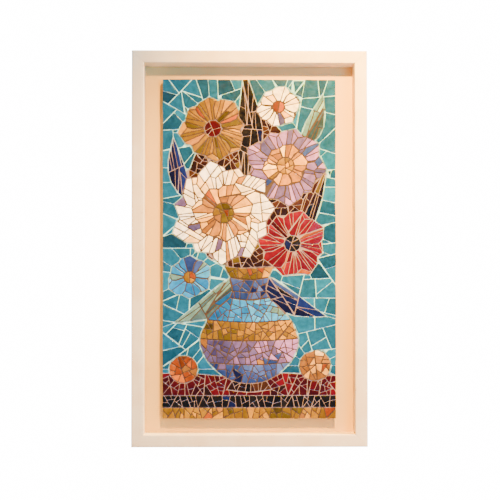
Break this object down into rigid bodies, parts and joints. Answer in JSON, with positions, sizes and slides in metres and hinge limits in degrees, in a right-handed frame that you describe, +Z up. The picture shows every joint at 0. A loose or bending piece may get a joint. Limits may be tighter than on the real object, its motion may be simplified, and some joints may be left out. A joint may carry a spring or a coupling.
{
  "type": "framed mosaic panel",
  "caption": "Tall mosaic panel of broken glazed tiles, a vase of flowers on a teal ground, floating in a deep cream box frame that hangs on a wall.",
  "frame": {"origin": "middle of the back face of the frame's top rail, where the panel meets the wall", "axes": "+Z up, the picture faces -Y, +X to the right as seen from the front"},
  "size_m": [0.42, 0.04, 0.706],
  "materials": {
    "frame_paint": "cream eggshell paint on wood",
    "backing": "matt cream paint on board",
    "board": "bare fibreboard with grout smears on its edges",
    "grout": "matt cement grout",
    "teal_tile": "satin glaze",
    "cream_tile": "satin glaze",
    "peach_tile": "satin glaze",
    "ochre_tile": "satin glaze",
    "orange_tile": "satin glaze",
    "red_tile": "satin glaze",
    "dark_red_tile": "satin glaze",
    "lilac_tile": "satin glaze",
    "brown_tile": "satin glaze",
    "black_tile": "satin glaze",
    "light_blue_tile": "satin glaze",
    "slate_tile": "satin glaze",
    "navy_tile": "satin glaze",
    "grey_green_tile": "satin glaze"
  },
  "bodies": {
    "root": {"frame_top_rail": "frame_paint", "frame_bottom_rail": "frame_paint", "frame_left_stile": "frame_paint", "frame_right_stile": "frame_paint", "backing_board": "backing", "mosaic_board": "board", "ground_left_tiles": "teal_tile", "ground_right_tiles": "teal_tile", "cream_bloom_heart_tiles": "ochre_tile", "cream_bloom_inner_petals_tiles": "peach_tile", "cream_bloom_outer_petals_tiles": "cream_tile", "red_bloom_heart_tiles": "black_tile", "red_bloom_petals_tiles": "red_tile", "lilac_bloom_heart_tiles": "ochre_tile", "lilac_bloom_inner_petals_tiles": "peach_tile", "lilac_bloom_outer_petals_tiles": "lilac_tile", "ochre_bloom_heart_tiles": "dark_red_tile", "ochre_bloom_petals_tiles": "ochre_tile", "white_bloom_heart_tiles": "orange_tile", "white_bloom_petals_tiles": "cream_tile", "blue_bloom_heart_tiles": "ochre_tile", "blue_bloom_petals_tiles": "light_blue_tile", "vase_lip_tiles": "ochre_tile", "vase_neck_tiles": "slate_tile", "vase_shoulder_tiles": "light_blue_tile", "vase_band_tiles": "ochre_tile", "vase_belly_tiles": "lilac_tile", "vase_base_tiles": "slate_tile", "vase_foot_tiles": "brown_tile", "leaf_lower_left_tiles": "grey_green_tile", "leaf_lower_right_tiles": "navy_tile", "leaf_top_tiles": "black_tile", "leaf_right_tiles": "brown_tile", "leaf_left_tiles": "navy_tile", "leaf_upper_right_tiles": "grey_green_tile", "foliage_tiles_1": "brown_tile", "foliage_tiles_2": "brown_tile", "foliage_tiles_3": "brown_tile", "foliage_tiles_4": "brown_tile", "peach_fruit_tiles": "peach_tile", "orange_fruit_tiles": "orange_tile", "cloth_red_tiles": "dark_red_tile", "cloth_dark_tiles": "black_tile", "cloth_border_tiles": "ochre_tile"}
  },
  "joints": []
}
